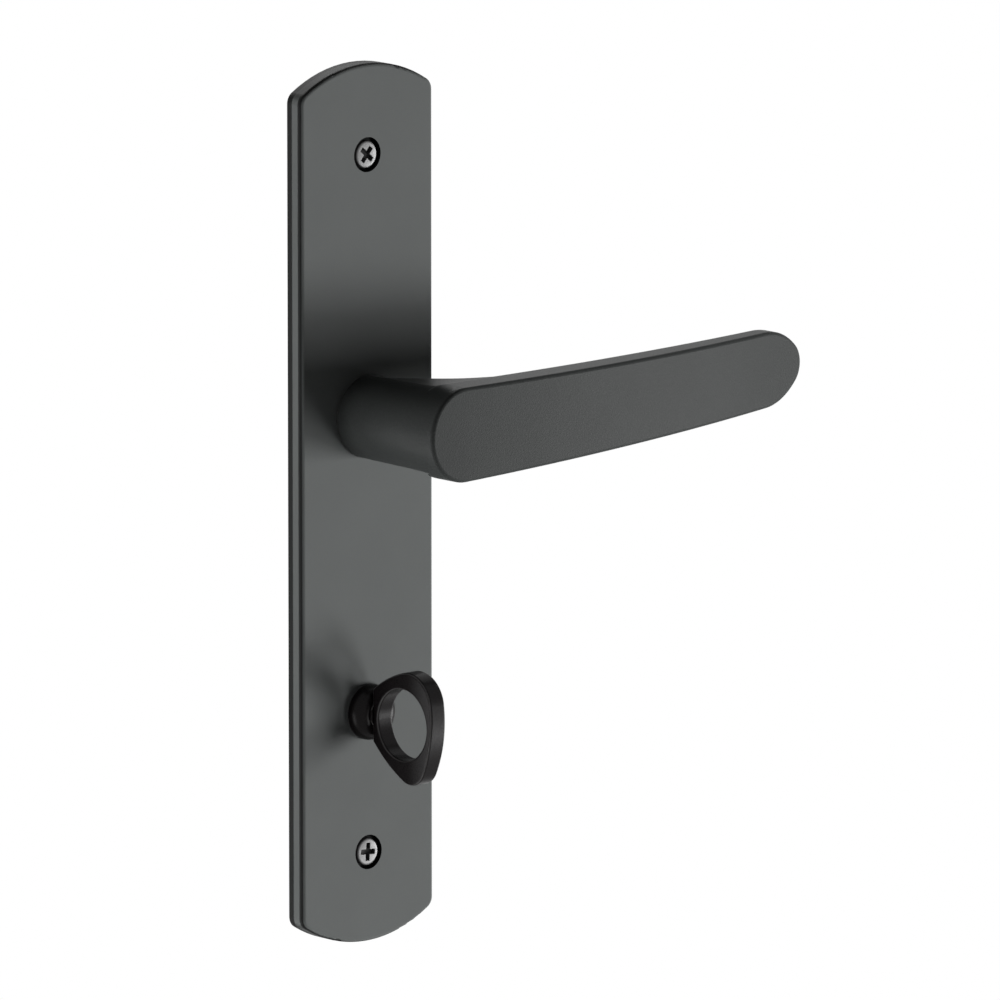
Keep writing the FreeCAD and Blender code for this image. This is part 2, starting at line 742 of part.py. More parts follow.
def make_grub_screw():
    body = new_body("lever_grub_screw", z.lever_height)
    bind(body, "Placement.Base.y", -(z.plate_thickness + z.grub_distance))
    start = z.spindle_side / 2 + z.seat
    rod = new_sketch(body, "grub_rod", "XY_Plane", -(start + z.grub_length))
    circle(rod, 0, 0, z.grub_diameter / 2)
    pad(body, rod, z.grub_length)
    soften(body, "Chamfer", z.grub_chamfer, lambda e: abs(e.BoundBox.ZMax + start.value) < 1e-4)
    key = new_sketch(body, "grub_key", "XY_Plane", -(start + z.grub_length))
    corner = z.grub_key / root(as_size(3))
    loop(key, [polar(corner, as_size(60 * i)) for i in range(6)])
    cut(body, key, z.grub_length / 2, forward=True)
    return body


def make_bush(label, height, journal):
    body = new_body(label, height)
    inner = journal / 2 + z.running
    outer = inner + z.bush_wall
    flange = outer + z.bush_flange_width
    turn(
        body,
        label + "_profile",
        [
            (inner, -(z.plate_thickness + z.lip)),
            (outer, -(z.plate_thickness + z.lip)),
            (outer, -FLOOR),
            (flange, -FLOOR),
            (flange, -BUSH_REAR),
            (inner, -BUSH_REAR),
        ],
    )
    return body


def make_washer(label, height, inner, outer, front, rear):
    """A flat washer between the depths front and rear."""
    body = new_body(label, height)
    turn(body, label + "_profile", [(inner, front), (outer, front), (outer, rear), (inner, rear)])
    return body


def make_circlip(label, height, groove_radius, width, share, front, rear):
    """An external circlip: a ring that is wider opposite its opening, with two drilled lugs.

    Its lugs, holes and opening are share times those of the lever's circlip."""
    body = new_body(label, height)
    lug, hole, gap = z.clip_lug * share, z.clip_hole * share, z.clip_gap * share
    ring = front_sketch(body, label + "_ring", -rear)
    inner = groove_radius + z.seat
    off_centre = width / 5
    circle(ring, 0, -off_centre, inner + width - off_centre)
    circle(ring, 0, 0, inner)
    pad(body, ring, rear - front)
    lugs = front_sketch(body, label + "_lugs", -rear)
    lug_inset = lug * 0.9
    lug_x = gap / 2 + lug_inset
    lug_height = inner + lug_inset
    for side in (1, -1):
        circle(lugs, lug_x * side, lug_height, lug)
    pad(body, lugs, rear - front)
    opening = front_sketch(body, label + "_opening")
    rectangle(opening, -gap / 2, 0, gap / 2, lug_height + lug * 2)
    circle(opening, lug_x, lug_height, hole)
    circle(opening, -lug_x, lug_height, hole)
    cut(body, opening, both_ways=True)
    return body


def make_driver():
    body = new_body("spring_driver", z.lever_height)
    disc = front_sketch(body, "driver_disc", DRIVER_REAR)
    circle(disc, 0, 0, z.driver_radius)
    pad(body, disc, z.driver_thickness)
    root_radius = z.driver_radius - z.driver_thickness / 2
    lug = front_sketch(body, "stop_lug", DRIVER_REAR)
    lug_middle = as_size(LUG_ANGLE)
    sector(lug, root_radius, z.stop_radius, lug_middle - z.stop_half_angle, lug_middle + z.stop_half_angle)
    pad(body, lug, z.driver_thickness)
    tab_base = front_sketch(body, "tab_base", DRIVER_REAR)
    tab_middle = as_size(TAB_ANGLE)
    tab_start, tab_end = tab_middle - z.tab_half_angle, tab_middle + z.tab_half_angle
    sector(tab_base, root_radius, z.stop_radius, tab_start, tab_end)
    pad(body, tab_base, z.driver_thickness)
    tab = front_sketch(body, "spring_tab", DRIVER_REAR - z.tab_length)
    sector(tab, z.stop_root, z.stop_radius, tab_start, tab_end)
    pad(body, tab, z.tab_length + z.driver_thickness / 2)
    hole = front_sketch(body, "driver_hole")
    hole_radius, flat = z.journal_diameter / 2 + z.seat, z.journal_flats / 2 + z.seat
    reach = root(hole_radius * hole_radius - flat * flat)
    loop(
        hole,
        [
            (reach, -flat, hole_radius),
            (reach, flat),
            (-reach, flat, hole_radius),
            (-reach, -flat),
        ],
    )
    cut(body, hole, both_ways=True)
    return body


def spring_front_angle():
    """The front leg stands just clockwise of the driver's tab."""
    wire_angle = arcsine((z.wire_diameter / 2 + z.play / 2) / z.stop_root)
    return as_size(TAB_ANGLE) - z.tab_half_angle - wire_angle


def make_return_spring():
    """A torsion spring with two legs bent outwards: one swept wire that pressing the lever winds tighter."""
    wire = z.wire_diameter.value
    radius = z.coil_radius.value
    front_y = z.play.value + wire / 2
    height = z.coil_pitch.value * z.coil_turns.value
    helix = Part.makeHelix(z.coil_pitch.value, height, radius, 0, True)
    section = Part.Wire(Part.makeCircle(wire / 2, Vector(radius, 0, 0), Vector(0, 1, 0)))
    coil = Part.Wire(helix).makePipeShell([section], True, True)
    pieces = [coil]
    for angle, level in ((0.0, 0.0), (-360.0 * z.coil_turns.value, height)):
        outward = Vector(math.cos(math.radians(angle)), math.sin(math.radians(angle)), 0)
        start = outward * radius + Vector(0, 0, level)
        pieces.append(Part.makeCylinder(wire / 2, z.coil_leg.value - radius, start, outward))
        pieces.append(Part.makeSphere(wire / 2, start))
    spring = pieces[0].multiFuse(pieces[1:]).removeSplitter()
    feature = doc.addObject("Part::Feature", "return_spring")
    feature.Label = "return_spring"
    # the coil's Z axis is laid along Y, and its front leg is turned to the tab
    stand = Rotation(Vector(1, 0, 0), -90)
    spin = Rotation(Vector(0, 1, 0), -spring_front_angle().value)
    feature.Shape = spring
    feature.Placement = Placement(Vector(0, front_y, z.lever_height.value), spin.multiply(stand))
    parts.append(feature)
    return feature


def make_housing():
    body = new_body("spring_housing", z.lever_height)
    outer = z.housing_inside + z.housing_wall
    hub_bore = z.tail_diameter / 2 + z.running
    rim = -(FLOOR - z.housing_seat)
    rear_inside = z.housing_depth - z.housing_wall
    turn(
        body,
        "cup",
        [
            (z.housing_inside, rim),
            (outer, rim),
            (outer, z.housing_depth),
            (hub_bore, z.housing_depth),
            (hub_bore, z.hub_start),
            (hub_bore + z.hub_wall, z.hub_start),
            (hub_bore + z.hub_wall, rear_inside),
            (z.housing_inside, rear_inside),
        ],
    )
    whole_width = outer.value * 2

    def on_rear_rim(edge):
        return at_depth(edge, -z.housing_depth) and abs(edge.BoundBox.XLength - whole_width) < 1e-3

    soften(body, "Fillet", z.housing_round, on_rear_rim)
    ear_rear = FLOOR - z.housing_seat - z.ear_thickness
    plates = front_sketch(body, "ears", ear_rear)
    for x, height in ears():
        circle(plates, x, height, z.ear_radius)
    pad(body, plates, z.ear_thickness)
    webs = front_sketch(body, "ear_webs", ear_rear)
    inner_end, outer_end = z.housing_inside + z.housing_wall / 2, z.ear_distance
    half_angle = arcsine(z.ear_radius / z.ear_distance)
    for turned in (0, 180):
        middle = z.ear_angle + turned
        sector(webs, inner_end, outer_end, middle - half_angle, middle + half_angle)
    pad(body, webs, z.ear_thickness)
    holes = front_sketch(body, "ear_holes", ear_rear)
    for x, height in ears():
        circle(holes, x, height, z.small_screw / 2 + z.seat)
    cut(body, holes, z.ear_thickness * 2, forward=True)
    sinks = front_sketch(body, "ear_sinks", ear_rear)
    for x, height in ears():
        circle(sinks, x, height, z.small_head / 2 + z.seat)
    cone = cut(body, sinks, (z.small_head - z.small_screw) / 2, forward=True)
    cone.TaperAngle = -45

    stop_depth = z.driver_thickness + z.play
    stops = front_sketch(body, "stops", DRIVER_REAR - z.play)
    wall = z.housing_inside + z.housing_wall / 2
    rest = as_size(LUG_ANGLE) + z.stop_half_angle + z.stop_gap_angle
    pressed = as_size(LUG_ANGLE) - z.lever_travel - z.stop_half_angle - z.stop_gap_angle
    sector(stops, z.stop_root, wall, rest, rest + z.stop_width_angle)
    sector(stops, z.stop_root, wall, pressed - z.stop_width_angle, pressed)
    pad(body, stops, stop_depth)

    anchor = front_sketch(body, "spring_anchor", -(rear_inside + z.housing_wall / 2))
    leg_angle = spring_front_angle() + z.coil_turns * 360
    wire_angle = arcsine((z.wire_diameter / 2 + z.play / 2) / z.stop_root)
    anchor_end = leg_angle - wire_angle
    sector(anchor, z.stop_root, wall, anchor_end - z.stop_width_angle, anchor_end)
    pad(body, anchor, z.wire_diameter * 1.5 + z.housing_wall / 2)
    return body


def make_housing_screw(label, place):
    """A small countersunk screw driven from behind: its head is flush with the ear."""
    body = new_body(label, z.lever_height + place[1])
    bind(body, "Placement.Base.x", place[0])
    top = -(FLOOR - z.housing_seat - z.ear_thickness)
    head, shank = z.small_head / 2, z.small_screw / 2
    turn(
        body,
        label + "_profile",
        [
            (0, top),
            (head, top),
            (shank, top - (head - shank)),
            (shank, top - z.small_screw_length + shank / 2),
            (shank / 2, top - z.small_screw_length),
            (0, top - z.small_screw_length),
        ],
    )
    slot = front_sketch(body, label + "_recess", -top)
    share = z.small_head / z.screw_head
    cross(slot, z.recess_length * share, z.recess_width * share, as_size(0))
    cut(body, slot, z.recess_depth * share, forward=True)
    return body


def cross(sketch, length, width, angle):
    """A cross of two slots, turned by angle."""
    long, wide = length / 2, width / 2
    corners = []
    for quarter in range(4):
        turned = angle + 90 * quarter
        along = (cosine(turned), sine(turned))
        for forward, across in ((long, -wide), (long, wide), (wide, wide)):
            corners.append((along[0] * forward - along[1] * across, along[1] * forward + along[0] * across))
    loop(sketch, corners)


def make_door_screw(label, end, angle):
    """A cheese-head wood screw with a plain neck. Its thread is a plain cylinder of the outer size."""
    body = new_body(label, z.screw_spacing * (end * 0.5))
    under = -(z.plate_thickness - z.screw_recess_depth + z.seat)
    top = under - z.screw_head_height
    head, neck, shank = z.screw_head / 2, z.screw_neck / 2, z.screw_shank / 2
    turn(
        body,
        label + "_profile",
        [
            (0, top),
            (head - z.screw_head_round, top, z.screw_head_round),
            (head, top + z.screw_head_round),
            (head, under),
            (neck, under),
            (neck, z.screw_neck_end),
            (shank, z.screw_neck_end),
            (shank, top + z.screw_length - z.screw_point),
            (shank / 5, top + z.screw_length),
            (0, top + z.screw_length),
        ],
    )
    slot = front_sketch(body, label + "_recess", -top)
    cross(slot, z.recess_length, z.recess_width, angle)
    cut(body, slot, z.recess_depth)
    return body


# the thumbturn

def make_thumbturn():
    body = new_body("thumbturn", TURN_HEIGHT)
    foot = -(z.plate_thickness + z.stem_length)
    ring = new_sketch(body, "ring_outline", "YZ_Plane")
    loop(
        ring,
        [
            (foot, z.ring_foot_top),
            (foot, -z.ring_foot_bottom, -z.ring_lower_radius),
            (foot - z.ring_lower_reach, -z.ring_lower_drop, -z.ring_front_radius),
            (foot - z.ring_upper_reach, z.ring_upper_rise, -z.ring_upper_radius),
        ],
    )
    circle(ring, foot - z.ring_hole_reach, -z.ring_hole_drop, z.ring_hole / 2)
    pad(body, ring, z.ring_thickness, both_ways=True)

    def upright_at(reach, rise):
        corner = Vector(0, (foot - reach).value, rise.value)
        return lambda e: all(math.hypot(p.y - corner.y, p.z - corner.z) < 1e-3 for p in points_on(e))

    soften(body, "Fillet", z.ring_upper_round, upright_at(z.ring_upper_reach, z.ring_upper_rise))
    soften(body, "Fillet", z.ring_lower_round, upright_at(z.ring_lower_reach, -z.ring_lower_drop))
    half = z.ring_thickness / 2
    soften(body, "Fillet", z.ring_edge, lambda e: at_side(e, half))

    stem, journal = z.stem_diameter / 2, z.turn_journal / 2
    start = -(z.plate_thickness + z.lip + z.play / 2)
    clip_front, clip_rear = turn_clip_place()
    groove_rear = clip_rear + z.play / 4
    groove_radius = journal - z.turn_groove
    turn(
        body,
        "stem",
        [
            (0, foot - z.ring_edge),
            (stem - z.stem_round, foot - z.ring_edge),
            (stem - z.stem_round, foot, z.stem_round),
            (stem, foot + z.stem_round),
            (stem, start),
            (journal, start),
            (journal, clip_front),
            (groove_radius, clip_front),
            (groove_radius, groove_rear),
            (journal, groove_rear),
            (journal, z.turn_tail),
            (0, z.turn_tail),
        ],
    )
    socket = front_sketch(body, "turn_socket", -z.turn_tail)
    half_side = z.turn_spindle_side / 2 + z.seat
    rectangle(socket, -half_side, -half_side, half_side, half_side)
    cut(body, socket, z.turn_tail + z.plate_thickness + z.turn_socket_depth, forward=True)
    return body


def turn_stack():
    """Where the thumbturn's washers start and end behind its bush: spring washer, flat washer, circlip."""
    spring_front = -BUSH_REAR + z.play / 4
    spring_rear = spring_front + z.spring_washer_rise
    flat_front = spring_rear + z.play / 8
    flat_rear = flat_front + z.turn_washer
    return spring_front, spring_rear, flat_front, flat_rear


def turn_clip_place():
    front = turn_stack()[3] + z.play / 8
    return front, front + z.turn_clip_thickness


def make_spring_washer():
    """A conical spring washer, which gives the thumbturn its drag."""
    body = new_body("turn_spring_washer", TURN_HEIGHT)
    front, rear = turn_stack()[:2]
    inner = z.turn_journal / 2 + z.running
    outer = inner + z.turn_washer_width
    turn(
        body,
        "spring_washer_profile",
        [
            (inner, rear - z.spring_washer),
            (outer, front),
            (outer, front + z.spring_washer),
            (inner, rear),
        ],
    )
    return body


def build():
    make_backplate()
    make_bush("lever_bush", z.lever_height, z.journal_diameter)
    make_bush("turn_bush", TURN_HEIGHT, z.turn_journal)
    make_door_screw("upper_door_screw", 1, z.upper_recess_angle)
    make_door_screw("lower_door_screw", -1, z.lower_recess_angle)
    make_housing()
    first, second = ears()
    make_housing_screw("upper_housing_screw", first)
    make_housing_screw("lower_housing_screw", second)
    make_return_spring()

    make_lever()
    front = z.plate_thickness + z.socket_depth - z.play
    make_spindle("lever_spindle", z.lever_height, z.spindle_side, front, z.spindle_reach)
    make_grub_screw()
    make_driver()
    tail = z.tail_diameter / 2
    washer_front = z.housing_depth + z.play / 2
    washer_rear = washer_front + z.washer_thickness
    washer_edge = tail + z.washer_width
    make_washer("lever_thrust_washer", z.lever_height, tail + z.seat, washer_edge, washer_front, washer_rear)
    clip_front = washer_rear + z.play / 4
    clip_rear = clip_front + z.clip_thickness
    groove_radius = tail - z.groove_depth
    make_circlip("lever_circlip", z.lever_height, groove_radius, z.clip_width, 1.0, clip_front, clip_rear)

    make_thumbturn()
    turn_front = z.plate_thickness + z.turn_socket_depth - z.play
    make_spindle("turn_spindle", TURN_HEIGHT, z.turn_spindle_side, turn_front, z.spindle_reach)
    make_spring_washer()
    journal = z.turn_journal / 2
    flat_front, flat_rear = turn_stack()[2:]
    washer_edge = journal + z.turn_washer_width
    make_washer("turn_flat_washer", TURN_HEIGHT, journal + z.seat, washer_edge, flat_front, flat_rear)
    groove_radius = journal - z.turn_groove
    share = 0.75
    make_circlip("turn_circlip", TURN_HEIGHT, groove_radius, z.turn_clip_width, share, *turn_clip_place())


def check_and_export():
    doc.recompute()
    for thing in doc.Objects:
        if "Invalid" in thing.State or "Error" in thing.State:
            raise RuntimeError(f"{thing.Name} failed: {thing.State}")
    os.makedirs("parts", exist_ok=True)
    faulty = [
        part.Label
        for part in parts
        if part.Shape.isNull() or not part.Shape.isValid() or len(part.Shape.Solids) != 1
    ]
    if faulty:
        raise RuntimeError(f"not one valid solid: {faulty}")
    for part in parts:
        part.Shape.exportStep(os.path.join("parts", part.Label + ".step"))
        print(part.Label, round(part.Shape.Volume, 1), len(part.Shape.Faces))


build()
check_and_export()
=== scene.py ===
import json
import math

import bmesh
import bpy
from mathutils import Matrix, Vector


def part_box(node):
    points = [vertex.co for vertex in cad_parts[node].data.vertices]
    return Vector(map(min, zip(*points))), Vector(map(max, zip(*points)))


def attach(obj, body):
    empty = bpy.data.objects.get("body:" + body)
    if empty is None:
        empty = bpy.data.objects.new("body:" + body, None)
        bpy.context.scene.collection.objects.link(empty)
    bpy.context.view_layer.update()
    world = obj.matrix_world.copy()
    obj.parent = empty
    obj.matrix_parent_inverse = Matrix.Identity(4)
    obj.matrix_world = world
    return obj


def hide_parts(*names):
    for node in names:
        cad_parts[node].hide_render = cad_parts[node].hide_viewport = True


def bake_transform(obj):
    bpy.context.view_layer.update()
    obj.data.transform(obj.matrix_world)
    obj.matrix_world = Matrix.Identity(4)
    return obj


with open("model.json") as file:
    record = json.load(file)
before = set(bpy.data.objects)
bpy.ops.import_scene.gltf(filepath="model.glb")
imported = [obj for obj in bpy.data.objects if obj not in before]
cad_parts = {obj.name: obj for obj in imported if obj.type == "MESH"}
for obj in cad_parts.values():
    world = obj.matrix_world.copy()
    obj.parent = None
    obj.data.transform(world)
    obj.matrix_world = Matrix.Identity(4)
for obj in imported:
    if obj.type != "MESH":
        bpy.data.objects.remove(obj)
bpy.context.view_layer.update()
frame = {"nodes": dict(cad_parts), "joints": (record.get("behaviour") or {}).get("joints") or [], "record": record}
MM = 0.001

# places and sizes on the object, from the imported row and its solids
JOINTS = {joint["name"]: joint for joint in frame["joints"]}
MOUNTS = {mount["name"]: mount for mount in frame["record"]["mounts"]}
LEVER_AXIS = Vector(JOINTS["lever_press"]["pos_m"])
SCREW_SPACING = MOUNTS["door_screws"]["dims"]["spacing_y_mm"] * MM
SCREW_HEIGHTS = {"upper_door_screw": SCREW_SPACING / 2, "lower_door_screw": -SCREW_SPACING / 2}
PLATE_THICKNESS = -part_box("backplate")[0][1]
HEAD_TOP, SCREW_END = (corner[1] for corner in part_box("upper_door_screw"))
SPRING_FRONT, SPRING_REAR = (corner[1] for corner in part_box("return_spring"))

# the camera: far away with a long lens, left of the plate's front and a little above it
CAMERA_AZIMUTH = math.radians(-41.93)
CAMERA_ELEVATION = math.radians(10.37)
CAMERA_DISTANCE = 3.367
CAMERA_LENS = 520.2
SENSOR = 36.0
# the point it looks at, seen from it: metres to the right of and above the frame's origin
TARGET_RIGHT = 0.03407
TARGET_UP = 0.00045


# node helpers

def new_material(name):
    material = bpy.data.materials.new(name)
    material.use_nodes = True
    return material, material.node_tree, material.node_tree.nodes["Principled BSDF"]


def opaque(value):
    """A colour, or a number as a grey, with full opacity."""
    return (*value, 1) if isinstance(value, tuple) else (value, value, value, 1)


def feed(tree, socket, value):
    """Links another socket to this one, or sets it to a number or a colour."""
    if isinstance(value, bpy.types.NodeSocket):
        tree.links.new(value, socket)
    elif socket.type == "RGBA":
        socket.default_value = opaque(value)
    else:
        socket.default_value = value


def object_space(tree, kind="Object"):
    """The place on the object in metres, or with kind Normal the surface's direction."""
    return tree.nodes.new("ShaderNodeTexCoord").outputs[kind]


def axes(tree, vector):
    node = tree.nodes.new("ShaderNodeSeparateXYZ")
    tree.links.new(vector, node.inputs[0])
    return node.outputs[0], node.outputs[1], node.outputs[2]


def reckon(tree, operation, first, second=0.0):
    """Simple arithmetic on two numbers, each a value or a socket."""
    node = tree.nodes.new("ShaderNodeMath")
    node.operation = operation
    feed(tree, node.inputs[0], first)
    feed(tree, node.inputs[1], second)
    return node.outputs[0]


def absolute(tree, number):
    return reckon(tree, "ABSOLUTE", number)


def step(tree, number, low, high):
    """Runs smoothly from 0 at low to 1 at high, also where high is the smaller."""
    node = tree.nodes.new("ShaderNodeMapRange")
    node.interpolation_type = "SMOOTHSTEP"
    node.inputs["From Min"].default_value = low
    node.inputs["From Max"].default_value = high
    tree.links.new(number, node.inputs["Value"])
    return node.outputs["Result"]


def all_of(tree, *shares):
    product = shares[0]
    for share in shares[1:]:
        product = reckon(tree, "MULTIPLY", product, share)
    return product


def between(tree, share, low, high):
    """Low where the share is 0 and high where it is 1. Each may be a value or a socket."""
    node = tree.nodes.new("ShaderNodeMix")
    node.data_type = "FLOAT"
    feed(tree, node.inputs[0], share)
    feed(tree, node.inputs[2], low)
    feed(tree, node.inputs[3], high)
    return node.outputs[0]


def stops(tree, number, points):
    """A number that follows points of (place, value), for places from 0 to 1."""
    node = tree.nodes.new("ShaderNodeValToRGB")
    elements = node.color_ramp.elements
    while len(elements) < len(points):
        elements.new(0.5)
    for element, (place, value) in zip(elements, points):
        element.position = place
        element.color = opaque(value)
    tree.links.new(number, node.inputs["Fac"])
    return node.outputs["Color"]


def noise(tree, coordinates, size, detail):
    """Noise whose features are about size metres across."""
    node = tree.nodes.new("ShaderNodeTexNoise")
    node.inputs["Scale"].default_value = 1 / size
    node.inputs["Detail"].default_value = detail
    tree.links.new(coordinates, node.inputs["Vector"])
    return node.outputs["Fac"]


def spread(tree, factor, low, high):
    """A number or colour that runs from low to high over the noise's middle range, 0.3 to 0.7."""
    return stops(tree, factor, ((0.3, low), (0.7, high)))


def bump(tree, height, depth):
    node = tree.nodes.new("ShaderNodeBump")
    node.inputs["Distance"].default_value = depth
    tree.links.new(height, node.inputs["Height"])
    return node.outputs["Normal"]


def mixed(tree, shader, name, share, value, blend_type="MIX"):
    """Changes what is linked to the shader's socket where the share is 1.

    It becomes the value, which may be a number, a colour or a socket, or is multiplied by it.
    """
    socket = shader.inputs[name]
    node = tree.nodes.new("ShaderNodeMix")
    node.data_type = "RGBA"
    node.blend_type = blend_type
    feed(tree, node.inputs[0], share)
    tree.links.new(socket.links[0].from_socket, node.inputs[6])
    feed(tree, node.inputs[7], value)
    tree.links.new(node.outputs[2], socket)


def darkened(tree, shader, share, tone):
    """Multiplies the finish's colour by a tone, a number or a socket, where the share is 1."""
    mixed(tree, shader, "Base Color", share, tone, "MULTIPLY")


# the finishes: a tone multiplies the colour, and a pair says where a change starts and is whole

TONE_PATCH = 14 * MM
PATCH_SHARE = 0.35


def grained(name, dark, light, roughness, metallic, specular, grain, depth):
    """A finish with a fine grain in its surface and a slow change of tone across it."""
    material, tree, shader = new_material(name)
    here = object_space(tree)
    fine = noise(tree, here, grain, detail=3)
    slow = noise(tree, here, TONE_PATCH, detail=2)
    tone = between(tree, PATCH_SHARE, fine, slow)
    tree.links.new(spread(tree, tone, dark, light), shader.inputs["Base Color"])
    tree.links.new(spread(tree, fine, *roughness), shader.inputs["Roughness"])
    tree.links.new(bump(tree, fine, depth), shader.inputs["Normal"])
    shader.inputs["Metallic"].default_value = metallic
    shader.inputs["Specular IOR Level"].default_value = specular
    return material


# (place, tone) of the painted shade across the plate's wall, two dark lines, from 0 at the door to 1 at the face
WALL_PAINTED_SHADE = ((0, 0.05), (0.3, 0.08), (0.37, 1), (0.7, 1), (0.76, 0.06), (1, 0.1))
WALL_FACING = (0.85, 0.5)
END_RISING = (0.3, 0.8)
# tone of the painted shade on the plate's top and bottom ends
END_PAINTED_SHADE = 0.3
RECESS_RADIUS = 4.1 * MM
RECESS_RIM = (0.15 * MM, 0.05 * MM)
RECESS_SUNK = (0.02 * MM, 0.12 * MM)
# tone of the painted shade in the screw recesses
RECESS_PAINTED_SHADE = 0.15
BACK_FACING = (0.2, 0.7)
BACK_ROUGHNESS = 0.8


def plate_finish():
    """Satin paint, with painted shade as two dark lines round its wall, painted shade on its top and bottom ends
    and in the screw recesses, and a rougher back.
    """
    material = grained(
        "satin_anthracite",
        dark=(0.122, 0.129, 0.127),
        light=(0.139, 0.1468, 0.1447),
        roughness=(0.52, 0.58),
        metallic=0.0,
        specular=0.05,
        grain=0.12 * MM,
        depth=0.004 * MM,
    )
    tree = material.node_tree
    shader = tree.nodes["Principled BSDF"]
    x, y, z = axes(tree, object_space(tree))
    _, facing, rising = axes(tree, object_space(tree, "Normal"))
    wall = step(tree, absolute(tree, facing), *WALL_FACING)
    at_end = step(tree, absolute(tree, rising), *END_RISING)
    lines = stops(tree, reckon(tree, "DIVIDE", y, -PLATE_THICKNESS), WALL_PAINTED_SHADE)
    # painted shade: two dark lines round the plate's wall
    darkened(tree, shader, wall, lines)
    # painted shade on the top and bottom ends of the wall
    darkened(tree, shader, all_of(tree, wall, at_end), END_PAINTED_SHADE)
    # painted shade in the screw recesses
    sunk = step(tree, y, *(depth - PLATE_THICKNESS for depth in RECESS_SUNK))
    for height in SCREW_HEIGHTS.values():
        across = reckon(tree, "POWER", x, 2)
        along = reckon(tree, "POWER", reckon(tree, "SUBTRACT", z, height), 2)
        radius = reckon(tree, "SQRT", reckon(tree, "ADD", across, along))
        near = step(tree, radius, *(RECESS_RADIUS + rim for rim in RECESS_RIM))
        darkened(tree, shader, all_of(tree, near, sunk), RECESS_PAINTED_SHADE)
    mixed(tree, shader, "Roughness", step(tree, facing, *BACK_FACING), BACK_ROUGHNESS)
    return material


HEAD_HEIGHT = 1.65 * MM
HEAD_UNDER = HEAD_TOP + HEAD_HEIGHT
BELOW_TOP = (0.06 * MM, 0.3 * MM)
BEFORE_SHANK = 0.2 * MM
# the painted shade in the cross and on the head's sides, and the shank's own blackened tone
SUNK_PAINTED_SHADE, SHANK_TONE = 0.05, 0.4
CROSS_ROUGHNESS, SHANK_ROUGHNESS = 0.8, 0.4


def screw_finish():
    """Blackened steel, rubbed grey on the flat of the head, with painted shade in its cross and on the head's
    sides down in the recess.
    """
    material = grained(
        "black_screw",
        dark=(0.12, 0.12, 0.121),
        light=(0.22, 0.22, 0.222),
        roughness=(0.3, 0.4),
        metallic=0.0,
        specular=0.5,
        grain=0.25 * MM,
        depth=0.01 * MM,
    )
    tree = material.node_tree
    shader = tree.nodes["Principled BSDF"]
    _, y, _ = axes(tree, object_space(tree))
    inward = step(tree, y, *(HEAD_TOP + depth for depth in BELOW_TOP))
    on_shank = step(tree, y, HEAD_UNDER - BEFORE_SHANK, HEAD_UNDER)
    # painted shade in the cross and on the head's sides, which sit down in the recess; the shank's darker tone is
    # its own blackened steel
    darkened(tree, shader, inward, between(tree, on_shank, SUNK_PAINTED_SHADE, SHANK_TONE))
    mixed(tree, shader, "Roughness", inward, between(tree, on_shank, CROSS_ROUGHNESS, SHANK_ROUGHNESS))
    return material


RING_HALF = 2.3 * MM
RING_START = -9.1 * MM
OFF_FLAT_SIDE = (0.97, 0.85)
OFF_RIM = (0.45, 0.6)
# how far the painted highlight runs in from the ring's side, and its colour
HIGHLIGHT_BAND = (0.65 * MM, 0.5 * MM)
RING_BLEND = (0.1 * MM, -0.2 * MM)
PAINTED_HIGHLIGHT_COLOUR = (0.06, 0.058, 0.058)


def turn_finish():
    """Black satin paint, with a painted highlight along the ring's rounded edges."""
    material = grained(
        "satin_black",
        dark=(0.0054, 0.0044, 0.0047),
        light=(0.0076, 0.0062, 0.0066),
        roughness=(0.25, 0.32),
        metallic=0.0,
        specular=0.08,
        grain=0.2 * MM,
        depth=0.004 * MM,
    )
    tree = material.node_tree
    shader = tree.nodes["Principled BSDF"]
    x, y, _ = axes(tree, object_space(tree))
    sideways, _, _ = axes(tree, object_space(tree, "Normal"))
    sideways = absolute(tree, sideways)
    rounded = all_of(tree, step(tree, sideways, *OFF_FLAT_SIDE), step(tree, sideways, *OFF_RIM))
    outer = step(tree, absolute(tree, x), *(RING_HALF - inset for inset in HIGHLIGHT_BAND))
    on_ring = step(tree, y, *(RING_START + reach for reach in RING_BLEND))
    # painted highlight along the ring's rounded edges
    mixed(tree, shader, "Base Color", all_of(tree, rounded, outer, on_ring), PAINTED_HIGHLIGHT_COLOUR)
    return material


def make_finishes():
    return {
        "plate": plate_finish(),
        "lever": grained(
            "grained_anthracite",
            dark=(0.038, 0.0404, 0.0398),
            light=(0.048, 0.0514, 0.0505),
            roughness=(0.36, 0.44),
            metallic=0.0,
            specular=0.03,
            grain=0.4 * MM,
            depth=0.04 * MM,
        ),
        "turn": turn_finish(),
        "screw": screw_finish(),
        "nylon": grained(
            "black_nylon",
            dark=(0.03, 0.03, 0.031),
            light=(0.04, 0.04, 0.041),
            roughness=(0.5, 0.6),
            metallic=0.0,
            specular=0.5,
            grain=0.3 * MM,
            depth=0.006 * MM,
        ),
        "zinc": grained(
            "zinc_plate",
            dark=(0.3, 0.313, 0.335),
            light=(0.4, 0.41, 0.427),
            roughness=(0.42, 0.55),
            metallic=1.0,
            specular=0.5,
            grain=0.4 * MM,
            depth=0.004 * MM,
        ),
        "spring": grained(
            "oiled_spring_steel",
            dark=(0.1, 0.1, 0.105),
            light=(0.15, 0.15, 0.155),
            roughness=(0.25, 0.35),
            metallic=1.0,
            specular=0.5,
            grain=0.2 * MM,
            depth=0.002 * MM,
        ),
    }


